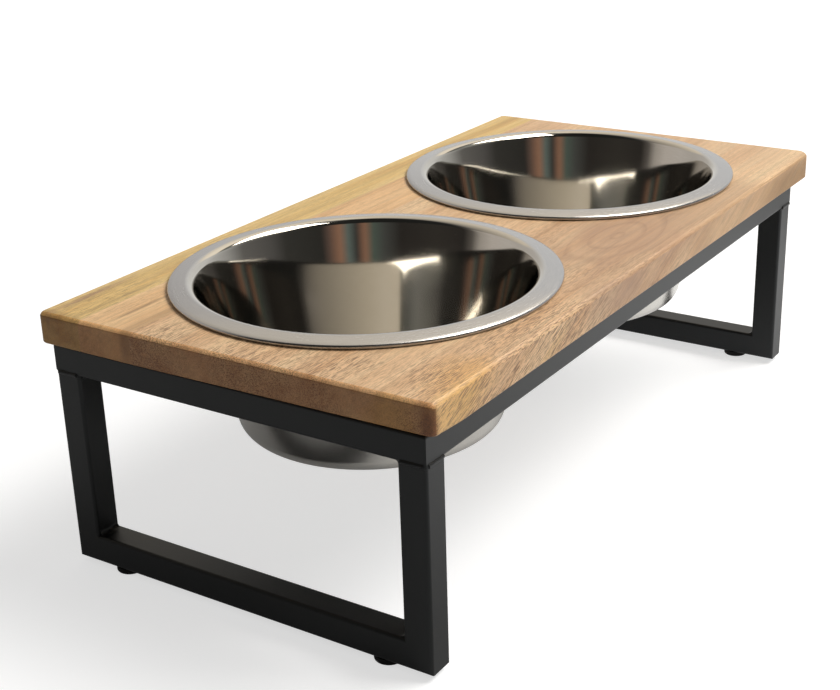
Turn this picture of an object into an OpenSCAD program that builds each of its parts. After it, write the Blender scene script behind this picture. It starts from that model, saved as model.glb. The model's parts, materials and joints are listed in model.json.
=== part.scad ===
// Raised dog feeder: a thick wooden board on a welded square-tube stand,
// with two steel bowls that drop into round holes and lift straight out.
// +X runs along the board to its right end, +Y to its back edge, +Z up.
// The origin is under the middle of the board, on the floor.

/* [Bowls] */
// Radius of the bowl at the outer edge of its rolled rim
rim_r = 110; // [70:0.5:150]
// Width of the rim, from the rolled edge to the mouth
rim_w = 10; // [8:0.5:20]
// How far the rim climbs from the rolled edge to the mouth
rim_rise = 1.5; // [0:0.1:3]
// Thickness of the bowl's sheet steel
bowl_t = 0.8; // [0.5:0.1:1.5]
// Height of the rolled edge
roll_h = 2.6; // [2.2:0.1:4]
// Radius of the bend from the rim down into the wall
lip_r = 5; // [2:0.5:6]
// Depth of the bowl below the top of the board
bowl_depth = 86; // [50:1:130]
// How far the wall leans in on its way down
wall_inset = 21; // [8:1:35]
// Radius of the bend from the wall into the base
base_bend_r = 9; // [4:0.5:20]

/* [Bowl places] */
// Wood between the left bowl's rim and the left end
left_margin = 20.5; // [12:0.5:60]
// Wood between the two rims
middle_margin = 19; // [8:0.5:80]
// Wood between the right bowl's rim and the right end
right_margin = 16.5; // [12:0.5:60]
// Wood between the rims and the long sides
side_margin = 15; // [12:0.5:60]
// How far the left bowl's hole sits behind the middle line
left_bowl_y = 1.5; // [0:0.5:4]
// Clearance round the bowl's wall in its hole
hole_play = 1.5; // [0.5:0.1:3]
// Height at which the rim clears the wood
seat_gap = 0.1; // [0.05:0.05:0.3]

/* [Board] */
// Thickness of the board
board_t = 18; // [14:0.5:30]
// Width of the narrow stave along the back edge
back_stave_w = 30; // [20:1:60]
// Width of the stave next to it
middle_stave_w = 36; // [20:1:60]
// Radius on the top edges of the two ends
end_round_r = 4; // [1:0.5:6]
// Radius on the top edges of the long sides
side_round_r = 3; // [1:0.5:6]
// Radius on the bottom edges
under_round_r = 1; // [0.5:0.5:3]
// Radius on the four upright corners
corner_r = 2; // [0.5:0.5:5]

/* [Stand] */
// Outer width of the square tube
tube_w = 16.5; // [12:0.5:20]
// Wall of the square tube
tube_t = 1.2; // [0.8:0.1:2]
// Radius on the tube's outer corners
tube_r = 1.8; // [1.5:0.1:2.5]
// Height of a leg frame, from under its foot rail to under the top frame
leg_h = 113.5; // [90:0.5:300]
// How far the board reaches past the stand at the left end
left_overhang = 3; // [0:0.5:10]
// Clearance between the right bowl's wall and the right rail
right_rail_gap = 1.8; // [1:0.1:15]
// How far the board reaches past the stand along the sides
side_overhang = 6.5; // [0:0.5:10]

/* [Welds] */
// Leg of the hollow fillet in the inside corners
fillet_leg = 3; // [1.5:0.5:5]
// Radius of the bead round the outside of a post's top
bead_r = 1.3; // [0.8:0.1:2]
// Air between a bead and the rounded tube under it
bead_gap = 0.03; // [0.01:0.01:0.1]

/* [Screws] */
// Radius of the shank of the screws that hold the board
screw_r = 2; // [1.5:0.1:3]
// Radius of the screws' pan heads
head_r = 4; // [3:0.1:6]
// Height of the screws' pan heads
head_h = 2.4; // [1.5:0.1:4]
// Wood left over the tips of the screws
screw_cover = 6; // [3:0.5:10]
// Clearance round a shank in its hole
screw_play = 0.05; // [0.02:0.01:0.2]
// Distance of the inner screws from the middle of the stand
inner_screw_x = 57; // [40:1:80]
// Distance of the outer screws from the ends of the stand
outer_screw_inset = 46.75; // [25:0.25:60]

/* [Feet] */
// Radius of a rubber foot
foot_r = 8; // [6:0.5:12]
// Height of a rubber foot
foot_h = 3.5; // [3.5:0.5:10]
// Radius on the lower edge of a foot
foot_edge_r = 1.2; // [0.5:0.1:2]
// Distance of a foot's centre from the side of the stand
foot_inset = 31; // [25:1:60]
// Rubber held under the head of a foot's screw
foot_web = 1.2; // [0.8:0.1:2]
// Radius of the screw head inside a foot
foot_head_r = 3; // [2.2:0.1:4]
// Height of the screw head inside a foot
foot_head_h = 1.8; // [1:0.1:2]
// Radius of the shank of a foot's screw
foot_screw_r = 1.5; // [1:0.1:2]
// How far a foot's screw reaches into the tube
foot_screw_reach = 6; // [3:0.5:9]
// Clearance round a foot's screw head
foot_play = 0.3; // [0.1:0.1:0.8]

/* [Smoothness] */
// Segments of a full circle
round_fn = 96; // [48:8:192]

/* [Hidden] */

// Wood and steel colours
wood_tan = "#d9b68c";
wood_brown = "#caa273";
wood_olive = "#c7a45f";
powder_black = "#262626";
weld_black = "#333333";
screw_black = "#3c3c3c";
rubber_black = "#161616";
steel_grey = "#b9b8b4";

// Plan of the board, built outwards from the bowls
board_l = left_margin + 2 * rim_r + middle_margin + 2 * rim_r + right_margin;
board_w = 2 * side_margin + 2 * rim_r;
left_bowl_x = -board_l / 2 + left_margin + rim_r;
right_bowl_x = board_l / 2 - right_margin - rim_r;
stave_y = board_w / 2 - back_stave_w;
middle_y = stave_y - middle_stave_w;

// Heights, from the floor up
post_top_z = foot_h + leg_h;
board_z = post_top_z + tube_w;
top_z = board_z + board_t;

// Sheet-metal line of the bowl, along the middle of its thickness, as heights from the board's top
roll_r = (roll_h - bowl_t) / 2;
roll_x = rim_r - roll_r - bowl_t / 2;
roll_z = seat_gap + roll_r + bowl_t / 2;
base_z = -bowl_depth + bowl_t / 2;
lip_x = rim_r - rim_w;
lip_mid_r = lip_r - bowl_t / 2;
lip_z = roll_z + roll_r + rim_rise - lip_mid_r;
bend_x = lip_x - lip_mid_r - wall_inset - base_bend_r + bowl_t / 2;
bend_z = base_z + base_bend_r;
// Lean of the wall from upright, as the line that touches both bends
bend_dx = lip_x - bend_x;
bend_dz = lip_z - bend_z;
wall_lean = atan2(bend_dx, bend_dz) - asin((lip_mid_r + base_bend_r) / norm([bend_dx, bend_dz]));
// Direction from both bends' centres to where the straight rim leaves them
rim_turn = atan2(roll_z - lip_z, roll_x - lip_x)
  + acos((lip_mid_r - roll_r) / norm([roll_x - lip_x, roll_z - lip_z]));
// Outer radius and height of the wall where the lip's bend runs into it
lip_out_r = lip_r - bowl_t;
throat = [lip_x - lip_out_r * cos(wall_lean), lip_z + lip_out_r * sin(wall_lean)];
// The wall's outer radius at a depth below the board's top
function wall_r(depth) = throat.x - (throat.y + depth) * tan(wall_lean);
// The lip's outer radius level with the board's top, and the hole round it
neck_r = lip_x - sqrt(pow(lip_out_r, 2) - pow(min(lip_z, 0), 2));
hole_r = neck_r + hole_play;

// Outer plan of the stand
stand_x0 = -board_l / 2 + left_overhang;
stand_x1 = right_bowl_x + wall_r(board_t) + right_rail_gap + tube_w;
stand_y = board_w / 2 - side_overhang;
stand_mid_x = (stand_x0 + stand_x1) / 2;
flat_w = tube_w - 2 * tube_r;
screw_y = stand_y - tube_w / 2;
screw_xs = [
  stand_x0 + outer_screw_inset,
  stand_mid_x - inner_screw_x,
  stand_mid_x + inner_screw_x,
  stand_x1 - outer_screw_inset
];
// Small overlap that lets a cutter run past the face it cuts
past = 1;

// Flat shapes

// A w by h rectangle from the origin with its lower and upper corners rounded
module rounded_rect(w, h, low_r, high_r) {
  translate([low_r, 0]) square([w - 2 * low_r, h / 2]);
  translate([high_r, h / 2]) square([w - 2 * high_r, h / 2]);
  translate([0, low_r]) square([w, h - low_r - high_r]);
  for (x = [low_r, w - low_r]) translate([x, low_r]) circle(r = low_r, $fn = round_fn);
  for (x = [high_r, w - high_r]) translate([x, h - high_r]) circle(r = high_r, $fn = round_fn);
}

// The tube's wall, seen from its end
module tube_section() {
  inner_w = tube_w - 2 * tube_t;
  inner_r = max(tube_r - tube_t, 0.2);
  difference() {
    rounded_rect(tube_w, tube_w, tube_r, tube_r);
    translate([tube_t, tube_t]) rounded_rect(inner_w, inner_w, inner_r, inner_r);
  }
}

// The hollow quarter round that fills an inside corner at the origin
module fillet_section() {
  difference() {
    square(fillet_leg);
    translate([fillet_leg, fillet_leg]) circle(r = fillet_leg, $fn = round_fn);
  }
}

// Straight tubes: along X and along Y from the origin, and upright
module tube_x(l) {
  rotate([90, 0, 90]) linear_extrude(l) tube_section();
}

module tube_y(l) {
  translate([0, l, 0]) rotate([90, 0, 0]) linear_extrude(l) tube_section();
}

module tube_z(l) {
  linear_extrude(l) tube_section();
}

// Places children at a corner of the stand, with their +X and +Y pointing inwards
module at_corner(end, side) {
  translate([end < 0 ? stand_x0 : stand_x1, side * stand_y, 0])
    mirror([end < 0 ? 0 : 1, 0, 0]) mirror([0, side < 0 ? 0 : 1, 0]) children();
}

module at_all_corners() {
  for (end = [-1, 1]) for (side = [-1, 1]) at_corner(end, side) children();
}

// Board

// The holes that the bowls hang in
module bowl_holes() {
  translate([left_bowl_x, left_bowl_y, board_z - past])
    cylinder(r = hole_r, h = board_t + 2 * past, $fn = round_fn);
  translate([right_bowl_x, 0, board_z - past])
    cylinder(r = hole_r, h = board_t + 2 * past, $fn = round_fn);
}

// Blind holes under the board for the screws
module pilot_holes() {
  for (x = screw_xs) for (side = [-1, 1])
    translate([x, side * screw_y, board_z - past])
      cylinder(r = screw_r + screw_play, h = board_t - screw_cover + past + screw_play, $fn = round_fn);
}

// The whole glued-up board before it is told apart into staves
module board_blank() {
  difference() {
    intersection() {
      translate([-board_l / 2, board_w / 2, board_z]) rotate([90, 0, 0])
        linear_extrude(board_w) rounded_rect(board_l, board_t, under_round_r, end_round_r);
      translate([-board_l / 2, -board_w / 2, board_z]) rotate([90, 0, 90])
        linear_extrude(board_l) rounded_rect(board_w, board_t, under_round_r, side_round_r);
      translate([-board_l / 2, -board_w / 2, board_z])
        linear_extrude(board_t) rounded_rect(board_l, board_w, corner_r, corner_r);
    }
    bowl_holes();
    pilot_holes();
  }
}

// The part of the board between two lines along its length
module stave(y0, y1) {
  intersection() {
    board_blank();
    translate([-board_l / 2 - past, y0, board_z - past])
      cube([board_l + 2 * past, y1 - y0, board_t + 2 * past]);
  }
}

module front_stave() {
  color(wood_tan) stave(-board_w / 2 - past, middle_y);
}

module middle_stave() {
  color(wood_brown) stave(middle_y, stave_y);
}

module back_stave() {
  color(wood_olive) stave(stave_y, board_w / 2 + past);
}

// Top frame

// Plan of a mitred rail of length l whose outer face lies on the X axis
module mitre_plan(l) {
  polygon([[0, 0], [l, 0], [l - tube_w, tube_w], [tube_w, tube_w]]);
}

// Holes through a long rail for the board's screws
module rail_holes() {
  for (x = screw_xs)
    translate([x - stand_x0, tube_w / 2, -past])
      cylinder(r = screw_r + screw_play, h = tube_w + 2 * past, $fn = round_fn);
}

// A long rail from the left corner, with its outer face on the X axis
module long_rail() {
  difference() {
    intersection() {
      tube_x(stand_x1 - stand_x0);
      linear_extrude(tube_w) mitre_plan(stand_x1 - stand_x0);
    }
    rail_holes();
  }
}

// A short rail from the front corner, with its outer face on the Y axis
module short_rail() {
  intersection() {
    tube_y(2 * stand_y);
    linear_extrude(tube_w) mirror([1, -1, 0]) mitre_plan(2 * stand_y);
  }
}

module front_rail() {
  color(powder_black) translate([stand_x0, -stand_y, post_top_z]) long_rail();
}

module back_rail() {
  color(powder_black) translate([stand_x0, stand_y, post_top_z]) mirror([0, 1, 0]) long_rail();
}

module left_rail() {
  color(powder_black) translate([stand_x0, -stand_y, post_top_z]) short_rail();
}

module right_rail() {
  color(powder_black) translate([stand_x1, -stand_y, post_top_z]) mirror([1, 0, 0]) short_rail();
}

// Leg frames

// An upright at a corner, cut at 45 degrees at its foot
module post() {
  color(powder_black) translate([0, 0, foot_h]) intersection() {
    tube_z(leg_h);
    rotate([90, 0, 90]) linear_extrude(tube_w)
      polygon([[0, 0], [tube_w, tube_w], [tube_w, leg_h], [0, leg_h]]);
  }
}

module front_left_post() {
  at_corner(-1, -1) post();
}

module back_left_post() {
  at_corner(-1, 1) post();
}

module front_right_post() {
  at_corner(1, -1) post();
}

module back_right_post() {
  at_corner(1, 1) post();
}

// A foot rail from the front corner, cut at 45 degrees at both ends and drilled for two feet
module foot_rail() {
  color(powder_black) translate([0, 0, foot_h]) difference() {
    intersection() {
      tube_y(2 * stand_y);
      rotate([90, 0, 90]) linear_extrude(tube_w) mitre_plan(2 * stand_y);
    }
    for (y = [foot_inset, 2 * stand_y - foot_inset])
      translate([tube_w / 2, y, -past])
        cylinder(r = foot_screw_r + screw_play, h = tube_t + 2 * past, $fn = round_fn);
  }
}

module left_foot_rail() {
  at_corner(-1, -1) foot_rail();
}

module right_foot_rail() {
  at_corner(1, -1) foot_rail();
}

// Welds

// Upright fillets in the four inside corners of the top frame
module frame_corner_welds() {
  color(weld_black) at_all_corners()
    translate([tube_w, tube_w, post_top_z + tube_r]) linear_extrude(flat_w) fillet_section();
}

// The bead in the groove between a post's top and the rounded rail over it,
// drawn with the outer face on the Y axis and the seam on the X axis
module bead_section() {
  difference() {
    translate([tube_r / 4, tube_r / 4]) circle(r = bead_r, $fn = round_fn);
    translate([0, -2 * bead_r]) square([2 * tube_r, 2 * bead_r]);
    translate([tube_r, tube_r]) circle(r = tube_r + bead_gap, $fn = round_fn);
    translate([-bead_gap, tube_r]) square([2 * tube_r, 2 * bead_r]);
    translate([tube_r, -bead_gap]) square([2 * tube_r, tube_r]);
  }
}

// Fillets on a post's two inner faces and beads on its two outer ones
module post_weld_set() {
  translate([tube_w, tube_w - tube_r, post_top_z]) rotate([90, 0, 0])
    linear_extrude(flat_w) mirror([0, 1]) fillet_section();
  translate([tube_r, tube_w, post_top_z]) rotate([90, 0, 90])
    linear_extrude(flat_w) mirror([0, 1]) fillet_section();
  translate([0, tube_w - tube_r, post_top_z]) rotate([90, 0, 0])
    linear_extrude(flat_w) bead_section();
  translate([tube_r, 0, post_top_z]) rotate([90, 0, 90])
    linear_extrude(flat_w) bead_section();
}

module post_welds() {
  color(weld_black) at_all_corners() post_weld_set();
}

// Fillets between each post and its foot rail
module foot_corner_welds() {
  color(weld_black) at_all_corners()
    translate([tube_r, tube_w, foot_h + tube_w]) rotate([90, 0, 90])
      linear_extrude(flat_w) fillet_section();
}

// Fixings

// A pan-head screw with its head hanging under z = 0 and its shank above
module pan_screw(shank_r, shank_l, pan_r, pan_h) {
  edge_r = pan_h / 3;
  cylinder(r = shank_r, h = shank_l, $fn = round_fn);
  rotate_extrude($fn = round_fn)
    polygon(concat(
      [[0, 0], [pan_r, 0], [pan_r, -pan_h + edge_r]],
      [for (a = [15:15:90]) [pan_r - edge_r + edge_r * cos(a), -pan_h + edge_r - edge_r * sin(a)]],
      [[0, -pan_h]]
    ));
}

module board_screws() {
  color(screw_black) for (x = screw_xs) for (side = [-1, 1])
    translate([x, side * screw_y, post_top_z])
      pan_screw(screw_r, tube_w + board_t - screw_cover, head_r, head_h);
}

// Feet

// A round rubber foot with a recess that hides its screw's head
module foot() {
  recess_r = foot_head_r + foot_play;
  shank_hole_r = foot_screw_r + screw_play;
  recess_h = foot_h - foot_web;
  color(rubber_black) rotate_extrude($fn = round_fn)
    polygon(concat(
      [[recess_r, 0]],
      [for (a = [-90:15:0]) [foot_r - foot_edge_r + foot_edge_r * cos(a), foot_edge_r + foot_edge_r * sin(a)]],
      [[foot_r, foot_h], [shank_hole_r, foot_h], [shank_hole_r, recess_h], [recess_r, recess_h]]
    ));
}

// Places children at a foot
module at_foot(end, side) {
  at_corner(end, side) translate([tube_w / 2, foot_inset, 0]) children();
}

module front_left_foot() {
  at_foot(-1, -1) foot();
}

module back_left_foot() {
  at_foot(-1, 1) foot();
}

module front_right_foot() {
  at_foot(1, -1) foot();
}

module back_right_foot() {
  at_foot(1, 1) foot();
}

module foot_screws() {
  color(screw_black) for (end = [-1, 1]) for (side = [-1, 1])
    at_foot(end, side) translate([0, 0, foot_h - foot_web])
      pan_screw(foot_screw_r, foot_web + foot_screw_reach, foot_head_r, foot_head_h);
}

// Bowls

// Points on an arc from angle a0 to a1 about a centre
function arc(cx, cz, r, a0, a1, steps) =
  [for (i = [0:steps]) let (a = a0 + (a1 - a0) * i / steps) [cx + r * cos(a), cz + r * sin(a)]];

// One skin of the bowl, from the middle of its base to the end of its rolled edge;
// out is half the sheet's thickness on the outside and minus that on the inside
function bowl_skin(out) = concat(
  [[0, base_z - out]],
  arc(bend_x, bend_z, base_bend_r + out, -90, -wall_lean, 12),
  arc(lip_x, lip_z, lip_mid_r - out, 180 - wall_lean, rim_turn, 10),
  arc(roll_x, roll_z, roll_r - out, rim_turn, -135, 18)
);

function reversed(points) = [for (i = [len(points) - 1:-1:0]) points[i]];

// A pressed bowl with its axis on Z and the board's top at z = 0
module bowl() {
  color(steel_grey) rotate_extrude($fn = 2 * round_fn)
    polygon(concat(bowl_skin(bowl_t / 2), reversed(bowl_skin(-bowl_t / 2))));
}

module left_bowl() {
  translate([left_bowl_x, left_bowl_y, top_z]) bowl();
}

module right_bowl() {
  translate([right_bowl_x, 0, top_z]) bowl();
}

front_stave();
middle_stave();
back_stave();
front_rail();
back_rail();
left_rail();
right_rail();
front_left_post();
back_left_post();
front_right_post();
back_right_post();
left_foot_rail();
right_foot_rail();
frame_corner_welds();
post_welds();
foot_corner_welds();
board_screws();
front_left_foot();
back_left_foot();
front_right_foot();
back_right_foot();
foot_screws();
left_bowl();
right_bowl();
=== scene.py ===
import json
import math

import bmesh
import bpy
from mathutils import Matrix, Vector

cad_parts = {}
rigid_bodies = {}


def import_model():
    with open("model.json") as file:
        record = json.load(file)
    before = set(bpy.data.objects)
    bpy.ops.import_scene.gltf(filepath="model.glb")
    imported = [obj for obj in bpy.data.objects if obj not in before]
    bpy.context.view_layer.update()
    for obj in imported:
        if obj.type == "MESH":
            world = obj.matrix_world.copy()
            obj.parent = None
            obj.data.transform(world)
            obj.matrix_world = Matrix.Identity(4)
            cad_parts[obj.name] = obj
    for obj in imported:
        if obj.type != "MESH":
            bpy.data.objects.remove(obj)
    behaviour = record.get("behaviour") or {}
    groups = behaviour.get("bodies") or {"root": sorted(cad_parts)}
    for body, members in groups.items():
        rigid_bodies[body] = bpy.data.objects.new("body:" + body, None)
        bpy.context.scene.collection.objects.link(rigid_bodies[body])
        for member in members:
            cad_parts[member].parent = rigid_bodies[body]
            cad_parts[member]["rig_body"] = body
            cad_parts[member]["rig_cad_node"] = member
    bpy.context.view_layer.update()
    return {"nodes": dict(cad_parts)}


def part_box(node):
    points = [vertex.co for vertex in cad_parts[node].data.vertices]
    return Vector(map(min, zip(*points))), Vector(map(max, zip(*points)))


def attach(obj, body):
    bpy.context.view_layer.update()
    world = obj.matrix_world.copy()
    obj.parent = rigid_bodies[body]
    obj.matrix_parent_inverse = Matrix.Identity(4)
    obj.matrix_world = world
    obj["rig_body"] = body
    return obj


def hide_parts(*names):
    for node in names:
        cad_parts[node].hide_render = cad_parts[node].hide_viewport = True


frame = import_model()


# Camera
# It stands off the near left corner of the feeder, a little above the board, and looks down along it.
# The lens is a long one, so the far end is only slightly smaller than the near end.
camera_place = Vector((-0.7598, -0.4572, 0.4282))
camera_aim = Vector((0.12465, 0.1272, -0.001))
camera_roll = math.radians(-1.775)
bpy.ops.object.select_all(action="DESELECT")
bpy.ops.object.camera_add(location=camera_place)
camera = bpy.context.object
camera.rotation_mode = "QUATERNION"
level = (camera_aim - camera_place).to_track_quat("-Z", "Y")
camera.rotation_quaternion = level @ Matrix.Rotation(camera_roll, 3, "Z").to_quaternion()
camera.data.sensor_width = 36
camera.data.lens = 64.19
bpy.context.scene.camera = camera


# Board
# Three staves of a light tropical hardwood, glued edge to edge, sawn to size and cut out for the bowls.
# The arrises are eased by hand, so each corner is a little different, and the near lower corner is
# sanded away most. The wood is oiled.
arris = 0.0023
under_arris = 0.0012
arris_fullness = 0.36
corner_rounds = {(-1, -1): 0.0042, (-1, 1): 0.004, (1, -1): 0.008, (1, 1): 0.005}
worn_corner_length = 0.026
worn_corner_lift = 0.0016
hole_radius = 0.09738
hole_chamfer = 0.0008
hole_sides = 192
pilot_radius = 0.00205
pilot_sides = 24
screw_cover = 0.006
outer_screw_inset = 0.04675
inner_screw_x = 0.057
tolerance = 1e-5
facing = 0.9
square = 0.9999
upright_slope = 0.1

board_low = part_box("front_stave")[0]
board_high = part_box("back_stave")[1]
board_depth = board_high.z - board_low.z
rail_low, rail_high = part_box("front_rail")
tube_width = rail_high.y - rail_low.y
bowl_axes = [sum(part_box(name), Vector()) / 2 for name in ("left_bowl", "right_bowl")]
stand_middle_x = (rail_low.x + rail_high.x) / 2
screw_xs = [
    rail_low.x + outer_screw_inset,
    stand_middle_x - inner_screw_x,
    stand_middle_x + inner_screw_x,
    rail_high.x - outer_screw_inset,
]
rail_middle_y = -(rail_low.y + rail_high.y) / 2
screw_places = [Vector((x, side * rail_middle_y, rail_low.z)) for x in screw_xs for side in (-1, 1)]


def pick(piece, kind, test):
    """In edit mode, selects the points, edges or faces of a piece whose middle passes the test."""
    bpy.ops.mesh.select_mode(type=kind)
    bpy.ops.mesh.select_all(action="DESELECT")
    shape = bmesh.from_edit_mesh(piece.data)
    shape.normal_update()
    for part in {"VERT": shape.verts, "EDGE": shape.edges, "FACE": shape.faces}[kind]:
        corners = [part] if kind == "VERT" else part.verts
        middle = sum((corner.co for corner in corners), Vector()) / len(corners)
        part.select_set(test(part, middle))
    bmesh.update_edit_mesh(piece.data)


def modify(piece, kind, **settings):
    """Adds a modifier with its settings to a piece and applies it."""
    modifier = piece.modifiers.new(kind.title(), kind)
    for name, value in settings.items():
        setattr(modifier, name, value)
    bpy.context.view_layer.objects.active = piece
    bpy.ops.object.modifier_apply(modifier=modifier.name)


def settle(piece, name):
    """Names a new piece and puts its place into its mesh."""
    piece.name = name
    bpy.ops.object.transform_apply(location=True, rotation=True, scale=True)


def copies_at(piece, places):
    """A piece made at the first of its places, and a copy with its own mesh at each of the others."""
    pieces = [piece]
    for place in places[1:]:
        copy = piece.copy()
        copy.data = piece.data.copy()
        copy.data.transform(Matrix.Translation(place - places[0]))
        bpy.context.collection.objects.link(copy)
        pieces.append(copy)
    return pieces


def at_corner(edge, middle, end, side):
    """Whether an edge is the upright one at a corner of the board."""
    a, b = (v.co for v in edge.verts)
    upright = abs(a.z - b.z) > board_depth / 2
    corner_x = board_high.x if end > 0 else board_low.x
    corner_y = board_high.y if side > 0 else board_low.y
    return upright and abs(middle.x - corner_x) < tolerance and abs(middle.y - corner_y) < tolerance


def on_outer_side(face):
    """Whether a face is an upright one that isn't glued to another stave."""
    middle_y = face.calc_center_median().y
    inside = board_low.y + tolerance < middle_y < board_high.y - tolerance
    glued = inside and abs(face.normal.y) > square
    return abs(face.normal.z) < upright_slope and not glued


def on_arris(edge, way):
    """Whether an edge lies between an outer side of a stave and its top, or its underside."""
    level = any(face.normal.z * way > facing for face in edge.link_faces)
    return level and any(on_outer_side(face) for face in edge.link_faces)


# The plug that cuts a bowl's hole, flared at both mouths for the chamfers.
flare = 1 + 2 * hole_chamfer / hole_radius
bpy.ops.object.select_all(action="DESELECT")
bpy.ops.mesh.primitive_cylinder_add(
    vertices=hole_sides, radius=hole_radius, depth=board_depth - 2 * hole_chamfer,
    location=(bowl_axes[0].x, bowl_axes[0].y, (board_low.z + board_high.z) / 2))
plug = bpy.context.object
settle(plug, "hole_cutter")
bpy.ops.object.mode_set(mode="EDIT")
for end in (-1, 1):
    pick(plug, "FACE", lambda face, middle: face.normal.z * end > facing)
    bpy.ops.mesh.extrude_region_move(TRANSFORM_OT_translate={"value": (0, 0, end * 2 * hole_chamfer)})
    bpy.ops.transform.resize(value=(flare, flare, 1))
    bpy.ops.mesh.extrude_region_move(TRANSFORM_OT_translate={"value": (0, 0, end * board_depth)})
bpy.ops.object.mode_set(mode="OBJECT")

# The drill for a screw's blind hole in the underside.
drill_low = rail_high.z - tube_width
drill_high = board_high.z - screw_cover
bpy.ops.object.select_all(action="DESELECT")
bpy.ops.mesh.primitive_cylinder_add(
    vertices=pilot_sides, radius=pilot_radius, depth=drill_high - drill_low,
    location=(screw_places[0].x, screw_places[0].y, (drill_low + drill_high) / 2))
drill = bpy.context.object
settle(drill, "pilot_cutter")

cutters = copies_at(plug, bowl_axes) + copies_at(drill, screw_places)
staves = {}
for name in ("front_stave", "middle_stave", "back_stave"):
    low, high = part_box(name)
    low.x, high.x = board_low.x, board_high.x
    bpy.ops.object.select_all(action="DESELECT")
    bpy.ops.mesh.primitive_cube_add(size=1, location=(low + high) / 2, scale=high - low)
    stave = bpy.context.object
    settle(stave, name + "_wood")
    bpy.ops.object.mode_set(mode="EDIT")
    if name == "front_stave":
        bpy.ops.mesh.select_all(action="SELECT")
        bpy.ops.mesh.bisect(plane_co=(board_low.x + worn_corner_length, 0, 0), plane_no=(1, 0, 0))
        pick(stave, "VERT", lambda vertex, place: (place - board_low).length < tolerance)
        bpy.ops.transform.translate(value=(0, 0, worn_corner_lift))
    for (end, side), radius in corner_rounds.items():
        pick(stave, "EDGE", lambda edge, middle: at_corner(edge, middle, end, side))
        bpy.ops.mesh.bevel(offset=radius, segments=8)
    for way, width in ((1, arris), (-1, under_arris)):
        pick(stave, "EDGE", lambda edge, middle: on_arris(edge, way))
        bpy.ops.mesh.bevel(offset=width, segments=5, profile=arris_fullness)
    bpy.ops.object.mode_set(mode="OBJECT")
    for cutter in cutters:
        modify(stave, "BOOLEAN", object=cutter, operation="DIFFERENCE", solver="EXACT")
    bpy.ops.object.select_all(action="DESELECT")
    stave.select_set(True)
    bpy.ops.object.shade_smooth_by_angle(angle=math.radians(20))
    modify(stave, "WEIGHTED_NORMAL", keep_sharp=True)
    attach(stave, "stand")
    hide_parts(name)
    staves[name] = stave
for cutter in cutters:
    bpy.data.objects.remove(cutter)


def paint(code):
    """An sRGB hex colour as linear red, green, blue and alpha."""
    parts = [int(code[i:i + 2], 16) / 255 for i in (1, 3, 5)]
    return [c / 12.92 if c <= 0.04045 else ((c + 0.055) / 1.055) ** 2.4 for c in parts] + [1.0]


def add_node(tree, kind, inputs, stops=(), **settings):
    """Adds a node with its settings; each input is a value, or the node or socket that it is linked to.

    A colour ramp has two stops of its own, so its first and last ones come first in stops.
    """
    node = tree.nodes.new("ShaderNode" + kind)
    for name, value in settings.items():
        setattr(node, name, value)
    for place, value in inputs.items():
        if isinstance(value, bpy.types.Node):
            value = value.outputs[0]
        if isinstance(value, bpy.types.NodeSocket):
            tree.links.new(value, node.inputs[place])
        else:
            node.inputs[place].default_value = value
    for index, (place, colour) in enumerate(stops):
        stop = node.color_ramp.elements[index] if index < 2 else node.color_ramp.elements.new(place)
        stop.position = place
        stop.color = colour if isinstance(colour, (list, tuple)) else (colour,) * 3 + (1,)
    return node


def new_finish(name):
    """An empty material with its output, its principled shader and the piece's own coordinates."""
    finish = bpy.data.materials.new(name)
    finish.use_nodes = True
    tree = finish.node_tree
    tree.nodes.clear()
    shader = add_node(tree, "BsdfPrincipled", {})
    add_node(tree, "OutputMaterial", {"Surface": shader})
    return finish, tree, shader, add_node(tree, "TexCoord", {}).outputs["Object"]


# Oiled mango wood
# Satin and open-pored: short brown pores along the grain, broad streaks of tan, peach and olive, and
# end grain that soaks up the oil and goes dark. The grain is one solid pattern, so it turns every edge.
pore_length = 0.006
pore_width = 0.00042
fleck_length = 0.0018
fleck_width = 0.0006
streak_length = 0.4
streak_width = 0.014
vein_length = 0.1
vein_width = 0.0036
fibre_length = 0.04
fibre_width = 0.0009
cloud_length = 0.06
cloud_width = 0.035
wander_length = 0.16
wander_width = 0.05
wander_reach = 0.03
ring_width = 0.0055
ring_brown = "#8C6A50"
knot_rings = 3
knot_lumps = 14.0
knot_outer = 1.5
knot_inner = 0.9
knot_ring_strength = 0.24
knot_pores = 0.25
patch_outer = 1.3
patch_inner = 0.5
patch_raggedness = 1.6
fibre_dark = 0.91
fibre_pale = 1.07
vein_dark = 0.88
vein_pale = 1.02
fleck_share = 0.45
pore_brown = "#6F4D31"
pore_darkness = 0.8
pore_near_x = -0.12
pore_far_x = 0.08
pore_far_share = 0.25
pore_least_share = 0.35
pore_sink = 0.6
pore_relief = 0.00012
end_under_arris = -0.9
end_from = 0.26
end_by = 0.4
# The painted highlight on the upper arris of the end grain: where it starts and where it is full.
arris_highlight_from = 0.1
arris_highlight_by = 0.3
side_from = -0.75
side_by = -0.95
soaked_tint = "#C9B4A0"
# The tint of the painted highlight on that arris.
arris_highlight_tint = (1.26, 1.1, 0.92)
oiled_smooth = 0.42
oiled_rough = 0.6


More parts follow.
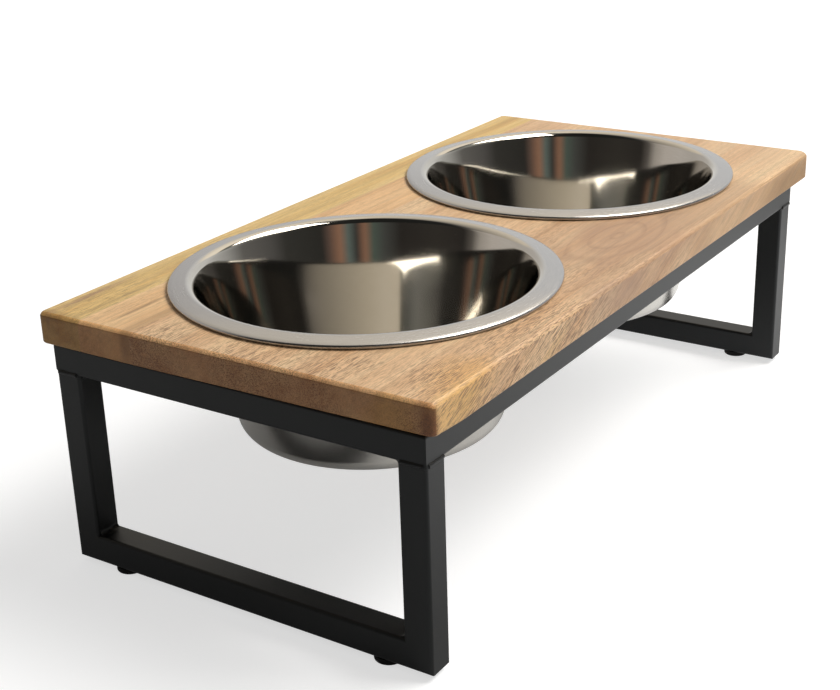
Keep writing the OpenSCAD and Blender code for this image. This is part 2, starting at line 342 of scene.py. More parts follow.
def oiled_wood(name, tones, shift, side_lean=0.0, pore_reach=1.0, rings=0.1, knot=None, patches=()):
    """One stave's wood: its tones from dark to pale, where its pattern starts, and its own figure.

    A knot is its middle and its reach along X, Y and Z. A patch is a colour, its middle, its reach, its
    turn about Y and its strength. A noise keeps mostly between 0.3 and 0.7, so it is cut about there.
    """
    finish, tree, shader, place = new_finish(name)

    # The end grain, its upper arris with a painted highlight where it faces up, and the long side, where
    # the grain leans.
    normal = add_node(tree, "SeparateXYZ", {0: add_node(tree, "NewGeometry", {}).outputs["True Normal"]})
    across_end = add_node(tree, "Math", {0: normal.outputs["X"]}, operation="ABSOLUTE")
    upward = add_node(tree, "Math", {0: normal.outputs["Z"], 1: 0.0}, operation="MAXIMUM")
    outward = add_node(
        tree, "Math", {0: upward, 1: end_under_arris, 2: across_end}, operation="MULTIPLY_ADD")
    on_end = add_node(tree, "MapRange", {0: outward, 1: end_from, 2: end_by})
    arris_highlight_share = add_node(tree, "Math", {0: upward, 1: across_end}, operation="MULTIPLY")
    arris_highlight_share = add_node(tree, "MapRange", {0: arris_highlight_share, 1: arris_highlight_from, 2: arris_highlight_by})
    arris_highlight_share = add_node(
        tree, "Math", {0: arris_highlight_share, 1: on_end}, operation="SUBTRACT", use_clamp=True)
    on_side = add_node(tree, "MapRange", {0: normal.outputs["Y"], 1: side_from, 2: side_by})
    leaned = add_node(tree, "Mapping", {0: place, "Rotation": (0, side_lean, 0)})
    grain = add_node(tree, "MixRGB", {0: on_side, 1: place, 2: leaned})
    grain = add_node(tree, "VectorMath", {0: grain, 1: shift}, operation="ADD")
    parts = add_node(tree, "SeparateXYZ", {0: grain})

    def stretched(length, width, **noise):
        scaled = add_node(tree, "Mapping", {0: grain, "Scale": (1 / length, 1 / width, 1 / width)})
        return add_node(tree, "TexNoise", {0: scaled, "Scale": 1.0, **noise})

    streaks = stretched(streak_length, streak_width, Detail=3.0, Roughness=0.55, Distortion=0.4)
    fibres = stretched(fibre_length, fibre_width, Detail=2.0)
    veins = stretched(vein_length, vein_width, Detail=2.0, Distortion=0.3)
    pores = stretched(pore_length, pore_width, Detail=0.5)
    flecks = stretched(fleck_length, fleck_width, Detail=0.5)
    clouds = stretched(cloud_length, cloud_width, Detail=2.0)

    # The year rings, which wander along the stave and close round the knot.
    wander = stretched(wander_length, wander_width, Detail=1.0)
    wander = add_node(tree, "Math", {0: wander, 1: wander_reach}, operation="MULTIPLY")
    across = add_node(tree, "Math", {0: parts.outputs["Y"], 1: parts.outputs["Z"]}, operation="ADD")
    across = add_node(tree, "Math", {0: across, 1: wander}, operation="ADD")
    if knot:
        centre, radii = knot
        knot_line = centre[1] + centre[2] + wander_reach / 2
        from_knot = add_node(tree, "Math", {0: across, 1: -knot_line}, operation="ADD")
        from_knot = add_node(tree, "Math", {0: from_knot}, operation="ABSOLUTE")
        oval = add_node(
            tree, "Mapping", {0: place, "Location": centre, "Scale": radii}, vector_type="TEXTURE")
        oval = add_node(tree, "VectorMath", {0: oval}, operation="LENGTH").outputs["Value"]
        oval = add_node(tree, "Math", {0: wander, 1: knot_lumps, 2: oval}, operation="MULTIPLY_ADD")
        in_knot = add_node(
            tree, "MapRange", {0: oval, 1: knot_outer, 2: knot_inner}, interpolation_type="SMOOTHSTEP")
        oval = add_node(tree, "Math", {0: oval, 1: knot_rings * ring_width}, operation="MULTIPLY")
        across = add_node(tree, "MixRGB", {0: in_knot, 1: from_knot, 2: oval})
    turns = add_node(tree, "Math", {0: across, 1: ring_width}, operation="DIVIDE")
    ring = add_node(tree, "Math", {0: turns}, operation="FRACT")
    ring_line = add_node(
        tree, "ValToRGB", {0: ring}, stops=((0.0, 0.35), (1.0, 0.25), (0.62, 0.0), (0.93, 1.0)))

    # The streaks of tone, and the patches that are this stave's own.
    dark, middle, pale = (paint(code) for code in tones)
    colour = add_node(tree, "ValToRGB", {0: streaks}, stops=((0.3, dark), (0.72, pale), (0.5, middle)))
    for code, centre, radii, turn, strength in patches:
        spot = {0: place, "Location": centre, "Rotation": (0, turn, 0), "Scale": radii}
        local = add_node(tree, "Mapping", spot, vector_type="TEXTURE")
        local = add_node(tree, "VectorMath", {0: local}, operation="LENGTH").outputs["Value"]
        ragged = add_node(
            tree, "Math", {0: clouds, 1: patch_raggedness, 2: -patch_raggedness / 2},
            operation="MULTIPLY_ADD")
        edge = add_node(tree, "Math", {0: local, 1: ragged}, operation="ADD")
        share = add_node(tree, "MapRange", {0: edge, 1: patch_outer, 2: patch_inner, 3: 0.0, 4: strength})
        colour = add_node(tree, "MixRGB", {0: share, 1: colour, 2: paint(code)})

    # The lines of the rings, the fibres and the veins.
    ring_share = rings
    if knot:
        ring_share = add_node(
            tree, "Math", {0: in_knot, 1: knot_ring_strength, 2: rings}, operation="MULTIPLY_ADD")
    ring_mark = add_node(tree, "Math", {0: ring_line, 1: ring_share}, operation="MULTIPLY")
    colour = add_node(tree, "MixRGB", {0: ring_mark, 1: colour, 2: paint(ring_brown)})
    fibre_light = add_node(tree, "MapRange", {0: fibres, 1: 0.3, 2: 0.7, 3: fibre_dark, 4: fibre_pale})
    vein_light = add_node(tree, "MapRange", {0: veins, 1: 0.3, 2: 0.55, 3: vein_dark, 4: vein_pale})
    shade = add_node(tree, "Math", {0: fibre_light, 1: vein_light}, operation="MULTIPLY")
    colour = add_node(tree, "VectorMath", {0: colour, "Scale": shade}, operation="SCALE")

    # The pores, thick towards the near end and in the clouds, and thin round the knot.
    pore_depth = add_node(tree, "MapRange", {0: pores, 1: 0.53, 2: 0.6})
    fleck_depth = add_node(tree, "MapRange", {0: flecks, 1: 0.56, 2: 0.68, 4: fleck_share})
    pore_depth = add_node(tree, "Math", {0: pore_depth, 1: fleck_depth}, operation="MAXIMUM")
    along = add_node(tree, "SeparateXYZ", {0: place})
    fade = add_node(
        tree, "MapRange", {0: along, 1: pore_near_x, 2: pore_far_x, 3: pore_reach, 4: pore_far_share})
    patchy = add_node(tree, "MapRange", {0: clouds, 1: 0.35, 2: 0.6, 3: pore_least_share, 4: 1.0})
    pore_share = add_node(tree, "Math", {0: fade, 1: patchy}, operation="MULTIPLY")
    pore_share = add_node(tree, "Math", {0: pore_share, 1: pore_depth}, operation="MULTIPLY")
    if knot:
        plain = add_node(tree, "MapRange", {0: in_knot, 3: 1.0, 4: knot_pores})
        pore_share = add_node(tree, "Math", {0: pore_share, 1: plain}, operation="MULTIPLY")
    pore_mark = add_node(tree, "Math", {0: pore_share, 1: pore_darkness}, operation="MULTIPLY")
    colour = add_node(tree, "MixRGB", {0: pore_mark, 1: colour, 2: paint(pore_brown)})

    # The end grain dark with oil, and its upper arris painted paler: a painted highlight where it faces
    # the light from above.
    soaked = add_node(tree, "MixRGB", {0: 1.0, 1: colour, 2: paint(soaked_tint)}, blend_type="MULTIPLY")
    arris_highlight = add_node(tree, "VectorMath", {0: colour, 1: arris_highlight_tint}, operation="MULTIPLY")
    colour = add_node(tree, "MixRGB", {0: arris_highlight_share, 1: colour, 2: arris_highlight})
    colour = add_node(tree, "MixRGB", {0: on_end, 1: colour, 2: soaked})
    tree.links.new(colour.outputs[0], shader.inputs["Base Color"])

    rough = add_node(tree, "MapRange", {0: fibres, 1: 0.2, 2: 0.8, 3: oiled_smooth, 4: oiled_rough})
    tree.links.new(rough.outputs[0], shader.inputs["Roughness"])
    relief = add_node(tree, "Math", {0: pore_depth, 1: -pore_sink, 2: fibres}, operation="MULTIPLY_ADD")
    bump = add_node(tree, "Bump", {"Height": relief, "Distance": pore_relief, "Strength": 0.6})
    tree.links.new(bump.outputs[0], shader.inputs["Normal"])
    shader.inputs["IOR"].default_value = 1.5
    return finish


front_patches = [
    ("#E1AD6C", (-0.212, -0.117, 0.15), (0.024, 0.016, 0.012), 0.0, 0.75),
    ("#CBA45F", (-0.135, -0.125, 0.138), (0.02, 0.012, 0.004), math.radians(-25), 0.6),
    ("#B8906F", (0.006, -0.094, 0.15), (0.085, 0.045, 0.03), 0.0, 0.85),
    ("#C29E7A", (0.11, -0.112, 0.152), (0.06, 0.02, 0.01), 0.0, 0.8),
    ("#CFAC88", (0.22, -0.05, 0.156), (0.08, 0.09, 0.03), 0.0, 0.35),
    ("#E6B76E", (-0.23, -0.126, 0.142), (0.035, 0.008, 0.012), 0.0, 0.75),
    ("#E2BC90", (-0.135, -0.126, 0.14), (0.03, 0.008, 0.012), 0.0, 0.5),
    ("#B08D72", (-0.07, -0.126, 0.145), (0.035, 0.006, 0.012), 0.0, 0.55),
    ("#BE9568", (0.15, -0.126, 0.138), (0.13, 0.006, 0.014), 0.0, 0.5),
    ("#9C774A", (0.228, -0.126, 0.139), (0.06, 0.006, 0.014), 0.0, 0.8),
    ("#EAC47A", (-0.248, -0.104, 0.138), (0.005, 0.014, 0.012), 0.0, 0.6),
    ("#8E5A38", (-0.248, -0.122, 0.138), (0.006, 0.005, 0.014), 0.0, 0.75),
]
back_patches = [
    ("#8C6839", (-0.247, 0.112, 0.156), (0.007, 0.02, 0.008), 0.0, 0.7),
    ("#A98468", (-0.218, 0.117, 0.15), (0.03, 0.0025, 0.02), 0.0, 0.7),
    ("#8F6E45", (-0.215, 0.1, 0.15), (0.035, 0.0022, 0.02), 0.0, 0.45),
    ("#B78F5A", (-0.12, 0.108, 0.15), (0.06, 0.003, 0.02), 0.0, 0.5),
]
middle_patches = [
    ("#CDA98A", (0.2, 0.06, 0.15), (0.12, 0.09, 0.05), 0.0, 0.5),
    ("#96714F", (-0.217, 0.079, 0.15), (0.02, 0.0016, 0.02), 0.0, 0.6),
    ("#9C7B58", (-0.225, 0.0615, 0.15), (0.035, 0.004, 0.03), 0.0, 0.55),
]
staves["front_stave"].data.materials.append(oiled_wood(
    "oiled_mango_front", ("#D2A578", "#E3BB8F", "#EBC99C"), (0.0, 0.0, 0.0),
    side_lean=math.radians(23), knot=((0.012, -0.09, 0.15), (0.062, 0.03, 0.06)),
    patches=front_patches))
staves["middle_stave"].data.materials.append(oiled_wood(
    "oiled_mango_middle", ("#D8A873", "#E9BD89", "#F0CA97"), (0.37, 0.21, 0.05), pore_reach=0.4,
    patches=middle_patches))
staves["back_stave"].data.materials.append(oiled_wood(
    "oiled_mango_back", ("#CA9E5F", "#E0BC78", "#EACB8E"), (0.71, 0.53, 0.11), pore_reach=0.55,
    patches=back_patches))


# Tube stand
# Square mild-steel tube, mitred and welded, then sprayed with black powder and baked.
# Baked powder is satin, with a faint orange peel and a soft sheen along every bend of the tube.
peel_size = 0.0011
peel_relief = 0.00004
dust_per_metre = 14.0
powder, tree, shader, place = new_finish("black_powder_coat")
shader.inputs["Roughness"].default_value = 0.42
shader.inputs["IOR"].default_value = 1.4
shader.inputs["Specular Tint"].default_value = (0.94, 0.98, 1.0, 1.0)
peel = add_node(tree, "TexNoise", {0: place, "Scale": 1 / peel_size, "Detail": 2.0, "Roughness": 0.5})
dust = add_node(tree, "TexNoise", {0: place, "Scale": dust_per_metre, "Detail": 4.0, "Roughness": 0.6})
black = add_node(tree, "ValToRGB", {0: dust}, stops=((0.3, paint("#0B0B0B")), (0.75, paint("#121212"))))
tree.links.new(black.outputs[0], shader.inputs["Base Color"])
bump = add_node(tree, "Bump", {"Height": peel, "Distance": peel_relief, "Strength": 0.5})
tree.links.new(bump.outputs[0], shader.inputs["Normal"])
rail_names = ("front_rail", "back_rail", "left_rail", "right_rail", "left_foot_rail", "right_foot_rail")
post_names = ("front_left_post", "back_left_post", "front_right_post", "back_right_post")
for name in rail_names + post_names:
    tube = frame["nodes"][name]
    tube.data.materials.clear()
    tube.data.materials.append(powder)


# Welds
# Beads of weld metal where the posts meet the top frame and in the inside corners, under the powder.
# The outer ones are ground low, and all are a little lumpy, as a hand-held torch leaves them.
ripple_size = 0.0035
ripple_height = 0.0005
ripple_level = 0.45
weld_cuts = 3
collar_depth = 0.0011
collar_height = 0.0018
collar_proud = 0.0002
collar_round = 0.0018
collar_soft = 0.0006
ripple = bpy.data.textures.new("weld_ripple", "CLOUDS")
ripple.noise_scale = ripple_size
ripple.noise_depth = 1

# The collar of weld at the top of a post, flush with the frame above it.
flush = 1 - 2 * collar_proud / tube_width
post_low, post_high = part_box(post_names[0])
low = Vector((post_low.x - collar_proud, post_low.y - collar_proud, post_high.z - collar_depth))
high = post_high + Vector((collar_proud, collar_proud, collar_height))
bpy.ops.object.select_all(action="DESELECT")
bpy.ops.mesh.primitive_cube_add(size=1, location=(low + high) / 2, scale=high - low)
collar = bpy.context.object
settle(collar, "post_collar")
bpy.ops.object.mode_set(mode="EDIT")
pick(collar, "EDGE", lambda edge, middle: abs(edge.verts[0].co.z - edge.verts[1].co.z) > tolerance)
bpy.ops.mesh.bevel(offset=collar_round, segments=6)
pick(collar, "EDGE", lambda edge, middle: any(-face.normal.z > facing for face in edge.link_faces))
bpy.ops.mesh.bevel(offset=collar_soft, segments=3)
pick(collar, "FACE", lambda face, middle: face.normal.z > facing)
bpy.ops.transform.resize(value=(flush, flush, 1), center_override=(low + high) / 2)
bpy.ops.mesh.select_all(action="SELECT")
bpy.ops.mesh.subdivide(number_cuts=weld_cuts)
bpy.ops.object.mode_set(mode="OBJECT")
collars = copies_at(collar, [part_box(name)[1] for name in post_names])

# Each bead is a copy of the frame's own, without the frame's marks, merged, cut finer and rippled.
for name in ("frame_corner_welds", "post_welds", "foot_corner_welds"):
    bead = frame["nodes"][name].copy()
    bead.data = bead.data.copy()
    bead.parent = None
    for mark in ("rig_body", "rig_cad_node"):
        del bead[mark]
    bpy.context.collection.objects.link(bead)
    bead.name = name + "_rippled"
    bpy.ops.object.select_all(action="DESELECT")
    bead.select_set(True)
    bpy.context.view_layer.objects.active = bead
    bpy.ops.object.mode_set(mode="EDIT")
    bpy.ops.mesh.select_all(action="SELECT")
    bpy.ops.mesh.customdata_custom_splitnormals_clear()
    bpy.ops.mesh.remove_doubles(threshold=1e-6)
    bpy.ops.mesh.subdivide(number_cuts=weld_cuts)
    bpy.ops.object.mode_set(mode="OBJECT")
    if name == "post_welds":
        for collar in collars:
            collar.select_set(True)
        bpy.ops.object.join()
    modify(bead, "DISPLACE", texture=ripple, texture_coords="LOCAL", strength=ripple_height,
           mid_level=ripple_level)
    bpy.ops.object.shade_smooth_by_angle(angle=math.radians(50))
    bead.data.materials.clear()
    bead.data.materials.append(powder)
    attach(bead, "stand")
    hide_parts(name)


# Board screws
# Eight black-oxide pan-head screws go up through the long rails into the board, four to a side.
# The heads have a cross recess. Black oxide is a thin, dark, slightly oily skin on the steel.
head_radius = 0.004
head_dome = 0.0014
head_height = 0.0024
shank_radius = 0.002
shank_length = board_high.z - screw_cover - rail_low.z
slot_length = 0.0042
slot_width = 0.0011
slot_depth = 0.0013
recess_slots = ((slot_length, slot_width), (slot_width, slot_length))
oxide_specks_per_metre = 900.0
oxide_smooth = 0.32
oxide_rough = 0.5


def cross_headed_screw(name, place, head, dome, height, shank, length):
    """A pan-head screw that points up, with its head's bearing face at its place."""
    bpy.ops.object.select_all(action="DESELECT")
    bpy.ops.mesh.primitive_cylinder_add(
        vertices=40, radius=head, depth=height, location=place - Vector((0, 0, height / 2)))
    screw = bpy.context.object
    settle(screw, name)
    bpy.ops.object.mode_set(mode="EDIT")
    rim = place.z - height
    pick(screw, "EDGE", lambda edge, middle: max(abs(v.co.z - rim) for v in edge.verts) < tolerance)
    bpy.ops.mesh.bevel(offset=dome, segments=5, profile=0.55)
    pick(screw, "FACE", lambda face, middle: face.normal.z > facing)
    bpy.ops.mesh.inset(thickness=head - shank)
    bpy.ops.mesh.extrude_region_move(TRANSFORM_OT_translate={"value": (0, 0, length)})
    bpy.ops.object.mode_set(mode="OBJECT")
    for size_x, size_y in recess_slots:
        bpy.ops.object.select_all(action="DESELECT")
        bpy.ops.mesh.primitive_cube_add(size=1, scale=(size_x, size_y, 2 * slot_depth),
                                        location=place - Vector((0, 0, height)))
        slot = bpy.context.object
        settle(slot, "recess_cutter")
        modify(screw, "BOOLEAN", object=slot, operation="DIFFERENCE", solver="EXACT")
        bpy.data.objects.remove(slot)
    bpy.ops.object.select_all(action="DESELECT")
    screw.select_set(True)
    bpy.context.view_layer.objects.active = screw
    bpy.ops.object.shade_smooth_by_angle(angle=math.radians(35))
    return screw


oxide, tree, shader, place = new_finish("black_oxide_steel")
shader.inputs["Metallic"].default_value = 0.6
handled = add_node(tree, "TexNoise", {0: place, "Scale": oxide_specks_per_metre, "Detail": 3.0})
skin_stops = ((0.35, paint("#1B1C1E")), (0.7, paint("#34363A")))
skin = add_node(tree, "ValToRGB", {0: handled}, stops=skin_stops)
tree.links.new(skin.outputs[0], shader.inputs["Base Color"])
rough = add_node(tree, "MapRange", {0: handled, 1: 0.3, 2: 0.7, 3: oxide_smooth, 4: oxide_rough})
tree.links.new(rough.outputs[0], shader.inputs["Roughness"])


def set_screws(screw, places, node):
    """Sets a screw at each of its places, all in the stead of one node of the frame."""
    for number, piece in enumerate(copies_at(screw, places), 1):
        piece.name = f"{node.removesuffix('s')}_{number}"
        piece.data.materials.append(oxide)
        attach(piece, "stand")
        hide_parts(node)


board_screw = cross_headed_screw(
    "board_screw", screw_places[0], head_radius, head_dome, head_height, shank_radius, shank_length)
set_screws(board_screw, screw_places, "board_screws")


# Rubber feet
# Four moulded rubber buttons, each held under a foot rail by a small screw sunk in its recess.
# Black rubber is matt, greyed a little with floor dust.
speck_size = 0.0006
speck_relief = 0.00005
film_per_metre = 120.0
foot_web = 0.0012
foot_head_radius = 0.003
foot_head_dome = 0.001
foot_head_height = 0.0018
foot_shank_radius = 0.0015
foot_shank_length = 0.0072
rubber, tree, shader, place = new_finish("moulded_black_rubber")
shader.inputs["Roughness"].default_value = 0.8
shader.inputs["Specular IOR Level"].default_value = 0.35
specks = add_node(tree, "TexNoise", {0: place, "Scale": 1 / speck_size, "Detail": 3.0})
film = add_node(tree, "TexNoise", {0: place, "Scale": film_per_metre, "Detail": 3.0})
dark = add_node(tree, "ValToRGB", {0: film}, stops=((0.35, paint("#0C0C0C")), (0.75, paint("#1C1B1A"))))
tree.links.new(dark.outputs[0], shader.inputs["Base Color"])
bump = add_node(tree, "Bump", {"Height": specks, "Distance": speck_relief, "Strength": 0.6})
tree.links.new(bump.outputs[0], shader.inputs["Normal"])
foot_names = ("front_left_foot", "back_left_foot", "front_right_foot", "back_right_foot")
for name in foot_names:
    foot = frame["nodes"][name]
    foot.data.materials.clear()
    foot.data.materials.append(rubber)
foot_screw_places = []
for name in foot_names:
    low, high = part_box(name)
    foot_screw_places.append(Vector(((low.x + high.x) / 2, (low.y + high.y) / 2, high.z - foot_web)))
foot_screw = cross_headed_screw(
    "foot_screw", foot_screw_places[0], foot_head_radius, foot_head_dome, foot_head_height,
    foot_shank_radius, foot_shank_length)
set_screws(foot_screw, foot_screw_places, "foot_screws")


# Bowls
# Each bowl is pressed from one disc of 0.8 mm stainless steel, with a flat rim rolled over at its edge.
# The inside is polished on a lathe, and the rim and the outside are left satin.
sheet = 0.0008
around = 256
base_disc = 0.04
base_margin = 0.002
base_bend = 0.0105
base_drop = 0.0856
lip_bend = 0.0046
lip_bend_middle = 0.1
lip_drop = 0.0008
roll_bend = 0.0009
roll_middle = 0.1087
roll_rise = 0.0014
roll_end = -135
lip_lean = 19.3
wall_bends = ((0.15, 14.5), (0.6, 12.9))
shoulder_bend = 0.008
shoulder_turn = 66
shoulder_middle = roll_middle - (shoulder_bend - roll_bend) * math.cos(math.radians(shoulder_turn))
shoulder_rise = roll_rise - (shoulder_bend - roll_bend) * math.sin(math.radians(shoulder_turn))
rim_run = shoulder_middle - lip_bend_middle
rim_climb = shoulder_rise + lip_drop
rim_turn = math.atan2(rim_climb, rim_run)
rim_turn += math.acos((lip_bend - shoulder_bend) / math.hypot(rim_run, rim_climb))
rim_turn = math.degrees(rim_turn)


def bend(middle, height, radius, start, end, steps):
    """Points of a bend in the sheet, as radius and height, from one angle to another."""
    turns = [math.radians(start + (end - start) * i / steps) for i in range(steps + 1)]
    return [(middle + radius * math.cos(t), height + radius * math.sin(t)) for t in turns]


top = board_high.z
lip = bend(lip_bend_middle, top - lip_drop, lip_bend, 180 - lip_lean, rim_turn, 12)
wall = [lip.pop(0)]
lean = lip_lean
for radius, lower_lean in wall_bends:
    turn = math.radians(180 - lean)
    middle, height = wall[-1][0] - radius * math.cos(turn), wall[-1][1] - radius * math.sin(turn)
    wall += bend(middle, height, radius, 180 - lean, 180 - lower_lean, 8)[1:]
    lean = lower_lean
turn = math.radians(lean)
base_bend_height = top - base_drop + base_bend
run = (wall[-1][1] - base_bend_height + base_bend * math.sin(turn)) / math.cos(turn)
base_bend_middle = wall[-1][0] - run * math.sin(turn) - base_bend * math.cos(turn)
profile = [(base_disc, top - base_drop), (base_bend_middle - base_margin, top - base_drop)]
profile += bend(base_bend_middle, base_bend_height, base_bend, -90, -lean, 12)
profile += wall[::-1]
profile += lip + bend(shoulder_middle, top + shoulder_rise, shoulder_bend, rim_turn, shoulder_turn, 6)
profile += bend(roll_middle, top + roll_rise, roll_bend, shoulder_turn, roll_end, 14)[1:]

# The sheet is drawn out about the bowl's axis, ring by ring, from its base to the roll of its rim.
axis = bowl_axes[0]
(radius, height), *rings = profile
bpy.ops.object.select_all(action="DESELECT")
bpy.ops.mesh.primitive_circle_add(
    vertices=around, radius=radius, fill_type="TRIFAN", location=(axis.x, axis.y, height))
bowl = bpy.context.object
settle(bowl, "pressed_bowl")
bpy.ops.object.mode_set(mode="EDIT")
pick(bowl, "EDGE", lambda edge, middle: len(edge.link_faces) == 1)
for next_radius, next_height in rings:
    bpy.ops.mesh.extrude_region_move(TRANSFORM_OT_translate={"value": (0, 0, next_height - height)})
    grow = next_radius / radius
    bpy.ops.transform.resize(value=(grow, grow, 1), center_override=(axis.x, axis.y, next_height))
    radius, height = next_radius, next_height
bpy.ops.object.mode_set(mode="OBJECT")
bowl.data.materials.append(None)
bowl.data.materials.append(None)
modify(bowl, "SOLIDIFY", thickness=sheet, offset=0, use_even_offset=True, material_offset=1,
       material_offset_rim=1)
bpy.ops.object.shade_smooth_by_angle(angle=math.radians(50))


# Stainless steel, polished inside
# Turned against a wheel, so what it reflects is smeared a little up and down, and the flat rim is
# brushed in fine rings. The outside keeps the soft satin of the sheet.
brush_width = 0.00035
brush_turns = 14.0
wheel_width = 0.0011
wheel_turns = 5.0
wipes_per_metre = 22.0
brushed_from = 0.0975
brushed_by = 0.1005
brush_relief = 0.000006
polished_rough = 0.07
satin_rough = 0.22
rim_rough = 0.24
wiped_smoother = -0.015
wiped_rougher = 0.03
brushed_rougher = 0.03


def stainless_steel(name, axis, wall_rough):
    """Steel with its brushing turned about a bowl's axis, with its own roughness inside the rim."""
    finish, tree, shader, place = new_finish(name)
    shader.inputs["Metallic"].default_value = 1.0
    centred = add_node(tree, "Mapping", {0: place, "Location": (-axis.x, -axis.y, 0)})
    parts = add_node(tree, "SeparateXYZ", {0: centred})
    level = add_node(tree, "CombineXYZ", {0: parts.outputs["X"], 1: parts.outputs["Y"]})
    radius = add_node(tree, "VectorMath", {0: level}, operation="LENGTH").outputs["Value"]
    heading = add_node(tree, "VectorMath", {0: level}, operation="NORMALIZE")
    heading = add_node(tree, "SeparateXYZ", {0: heading})
    along = add_node(tree, "Math", {0: radius, 1: parts.outputs["Z"]}, operation="ADD")

    def turned(width, slow, **noise):
        rate = add_node(tree, "Math", {0: along, 1: 1 / width}, operation="MULTIPLY")
        around_x = add_node(tree, "Math", {0: heading.outputs["X"], 1: slow}, operation="MULTIPLY")
        around_y = add_node(tree, "Math", {0: heading.outputs["Y"], 1: slow}, operation="MULTIPLY")
        where = add_node(tree, "CombineXYZ", {0: around_x, 1: around_y, 2: rate})
        return add_node(tree, "TexNoise", {0: where, "Scale": 1.0, **noise})

    on_rim = add_node(tree, "MapRange", {0: radius, 1: brushed_from, 2: brushed_by})
    brushed = turned(brush_width, brush_turns, Detail=2.0)
    polished = turned(wheel_width, wheel_turns, Detail=2.0)
    wiped = add_node(
        tree, "TexNoise", {0: centred, "Scale": wipes_per_metre, "Detail": 3.0, "Distortion": 0.6})
    rough = add_node(tree, "MapRange", {0: on_rim, 3: wall_rough, 4: rim_rough})
    smear = add_node(
        tree, "MapRange", {0: wiped, 1: 0.3, 2: 0.75, 3: wiped_smoother, 4: wiped_rougher})
    rough = add_node(tree, "Math", {0: rough, 1: smear}, operation="ADD")
    line = add_node(
        tree, "MapRange", {0: brushed, 1: 0.3, 2: 0.7, 3: -brushed_rougher, 4: brushed_rougher})
    line = add_node(tree, "Math", {0: line, 1: on_rim}, operation="MULTIPLY")
    rough = add_node(tree, "Math", {0: rough, 1: line}, operation="ADD")
    tree.links.new(rough.outputs[0], shader.inputs["Roughness"])
    wall_stops = ((0.2, paint("#C2BFB9")), (0.8, paint("#CAC8C3")))
    rim_stops = ((0.2, paint("#ADAEB1")), (0.8, paint("#B6B7BA")))
    wall_tint = add_node(tree, "ValToRGB", {0: brushed}, stops=wall_stops)
    rim_tint = add_node(tree, "ValToRGB", {0: brushed}, stops=rim_stops)
    tint = add_node(tree, "MixRGB", {0: on_rim, 1: wall_tint, 2: rim_tint})
    tree.links.new(tint.outputs[0], shader.inputs["Base Color"])
    relief = add_node(tree, "MixRGB", {0: on_rim, 1: polished, 2: brushed})
    bump = add_node(tree, "Bump", {"Height": relief, "Distance": brush_relief, "Strength": 0.22})
    tree.links.new(bump.outputs[0], shader.inputs["Normal"])
    return finish


for name, axis, bowl in zip(("left_bowl", "right_bowl"), bowl_axes, copies_at(bowl, bowl_axes)):
    bowl.name = name + "_pressed"
    bowl.data.materials[0] = stainless_steel("polished_stainless_steel", axis, polished_rough)
    bowl.data.materials[1] = stainless_steel("satin_stainless_steel", axis, satin_rough)
    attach(bowl, name)
    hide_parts(name)


# Floor
# A plain, matt, pale floor. The camera sees it as white, but for the feeder's own soft shadow. For the
# steel it has a painted glow as well, bright on the lit side, in front of the feeder, and dim elsewhere.
floor_size = 12.0
# The painted glow that the steel mirrors: its way, where it rises, how dim and how bright, and where it
# fades far off.
lit_way = (0.55, -0.83, 0)
lit_from = 0.02
lit_by = 0.4
painted_glow_dim = 0.1
painted_glow_bright = 1.05
far_from = 0.4
far_by = 0.65
far_share = 0.25
white_from = 0.9
white_by = 2.4
near_glow = 0.62
bpy.ops.object.select_all(action="DESELECT")
bpy.ops.mesh.primitive_plane_add(size=floor_size)
floor = bpy.context.object
floor.name = "studio_floor"
floor_paint, tree, shader, place = new_finish("matt_pale_floor")
shader.inputs["Base Color"].default_value = paint("#C4C3C1")
shader.inputs["Roughness"].default_value = 0.9
shader.inputs["Emission Color"].default_value = (1, 1, 1, 1)
paths = add_node(tree, "LightPath", {})
# The painted glow for glossy rays: bright towards the lit side, and fainter far along X.
way = add_node(tree, "VectorMath", {0: place, 1: lit_way}, operation="DOT_PRODUCT").outputs["Value"]
painted_glow = add_node(tree, "MapRange", {0: way, 1: lit_from, 2: lit_by, 3: painted_glow_dim, 4: painted_glow_bright})
far_side = add_node(tree, "SeparateXYZ", {0: place})
far_side = add_node(tree, "MapRange", {0: far_side, 1: far_from, 2: far_by, 3: 1.0, 4: far_share})
painted_glow = add_node(tree, "Math", {0: painted_glow, 1: far_side}, operation="MULTIPLY")
mirrored = add_node(tree, "Math", {0: paths.outputs["Is Glossy Ray"], 1: painted_glow}, operation="MULTIPLY")
distance = add_node(tree, "VectorMath", {0: place}, operation="LENGTH").outputs["Value"]
white = add_node(tree, "MapRange", {0: distance, 1: white_from, 2: white_by, 3: near_glow, 4: 1.0})
glow = add_node(tree, "Math", {0: paths.outputs["Is Camera Ray"], 1: white, 2: mirrored},
                operation="MULTIPLY_ADD")
tree.links.new(glow.outputs[0], shader.inputs["Emission Strength"])
floor.data.materials.append(floor_paint)


# Studio
# A soft key light high on the camera's right, a smaller one over the board, and a room for the steel to
# mirror: pale beyond the feeder, dark on the camera's side but for thin bands of brown and green, and
# dimmer higher up, with one bright soft box.
key_way = Vector((0.42, -0.44, 0.79))
key_distance = 3.8
bpy.ops.object.light_add(type="AREA", location=key_way * key_distance)
key = bpy.context.object
key.data.shape = "RECTANGLE"
key.data.size = 2.6
key.data.size_y = 1.8
key.data.energy = 150
key.visible_glossy = False
key.rotation_mode = "QUATERNION"
key.rotation_quaternion = (-key_way).to_track_quat("-Z", "Y")

strip_place = Vector((0.2, -0.32, 0.85))
strip_aim = Vector((0, 0, 0.15))
bpy.ops.object.light_add(type="AREA", location=strip_place)
strip = bpy.context.object
strip.data.shape = "RECTANGLE"
strip.data.size = 0.7
strip.data.size_y = 0.44
strip.data.energy = 8.7
strip.data.color = paint("#FFF6E8")[:3]
strip.visible_diffuse = False
strip.rotation_mode = "QUATERNION"
strip.rotation_quaternion = (strip_aim - strip_place).to_track_quat("-Z", "Y")

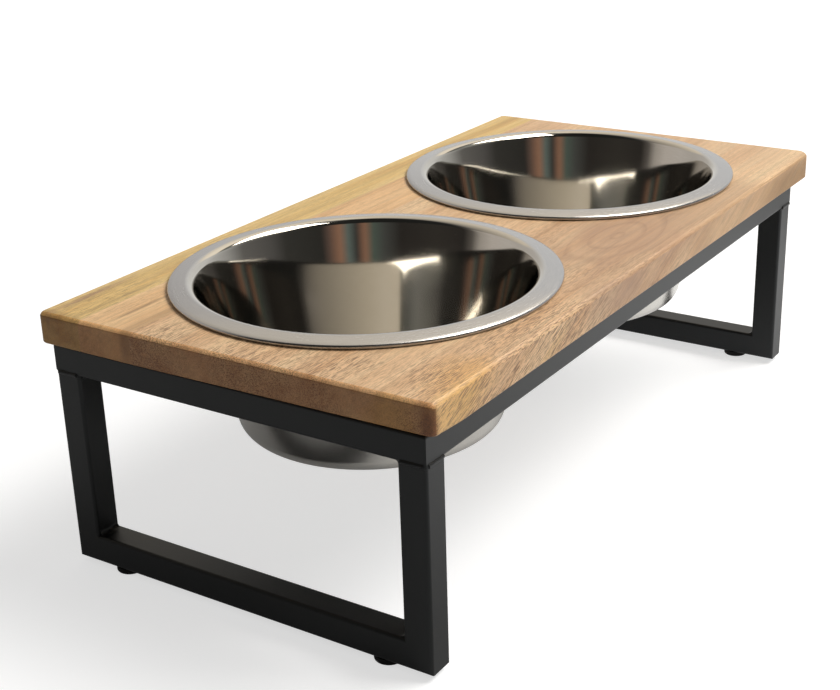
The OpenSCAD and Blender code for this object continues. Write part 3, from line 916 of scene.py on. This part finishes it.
camera_azimuth = math.atan2(camera_place.y - camera_aim.y, camera_place.x - camera_aim.x)
room_strength = 1.3
ambient_strength = 0.2
high_from = 0.44
high_by = 0.52
wall_tones = (
    (-180, "#D6D4D0"), (-160, "#B9B4AE"), (-130, "#B5AFA8"), (-112, "#BDB6AF"), (-96, "#BBB3AB"),
    (-86, "#A39C94"), (-79, "#5A5550"), (-72, "#2E2B28"), (-50, "#34312D"), (-24, "#2D2A27"),
    (-12, "#454643"), (-4, "#4F5A52"), (2, "#8A6753"), (8, "#3A3835"), (14, "#5E6964"),
    (20, "#8F6B56"), (28, "#5A4A42"), (33, "#2F2E2B"), (60, "#383734"), (72, "#545250"),
    (96, "#676562"), (112, "#A3A29F"), (140, "#D0CFCC"), (180, "#D6D4D0"))
high_tones = (
    (-180, "#E8DCC8"), (-104, "#A39B8F"), (-90, "#837D75"), (-80, "#4A4845"), (-70, "#262625"),
    (-30, "#1F1F1D"), (36, "#262624"), (58, "#45443F"), (71, "#929088"), (104, "#8F8F8A"),
    (122, "#6A6A66"), (130, "#757369"), (134, "#FDF0DC"), (155, "#FAEEDB"), (180, "#E8DCC8"))
world = bpy.data.worlds.new("studio")
world.use_nodes = True
tree = world.node_tree
tree.nodes.clear()
way = add_node(tree, "TexCoord", {}).outputs["Generated"]
turned = add_node(tree, "Mapping", {0: way, "Rotation": (0, 0, -camera_azimuth)})
parts = add_node(tree, "SeparateXYZ", {0: turned})
azimuth = add_node(tree, "Math", {0: parts.outputs["Y"], 1: parts.outputs["X"]}, operation="ARCTAN2")
around_room = add_node(tree, "MapRange", {0: azimuth, 1: -math.pi, 2: math.pi})


def room_band(tones):
    """A band of the room, with its tones at their azimuths in degrees from the camera's side."""
    stops = [((turn + 180) / 360, paint(code)) for turn, code in tones]
    stops = [stops[0], stops[-1]] + stops[1:-1]
    return add_node(tree, "ValToRGB", {0: around_room}, stops=stops)


high = add_node(tree, "MapRange", {0: parts.outputs["Z"], 1: high_from, 2: high_by},
                interpolation_type="SMOOTHSTEP")
room = add_node(tree, "MixRGB", {0: high, 1: room_band(wall_tones), 2: room_band(high_tones)})
shown = add_node(tree, "Background", {"Color": (1, 1, 1, 1), "Strength": 1.0})
mirrored = add_node(tree, "Background", {"Color": room, "Strength": room_strength})
ambient = add_node(tree, "Background", {"Color": (1, 1, 1, 1), "Strength": ambient_strength})
paths = add_node(tree, "LightPath", {})
light = add_node(tree, "MixShader", {0: paths.outputs["Is Glossy Ray"], 1: ambient, 2: mirrored})
light = add_node(tree, "MixShader", {0: paths.outputs["Is Camera Ray"], 1: light, 2: shown})
add_node(tree, "OutputWorld", {"Surface": light})
bpy.context.scene.world = world
bpy.context.scene.view_settings.view_transform = "Standard"
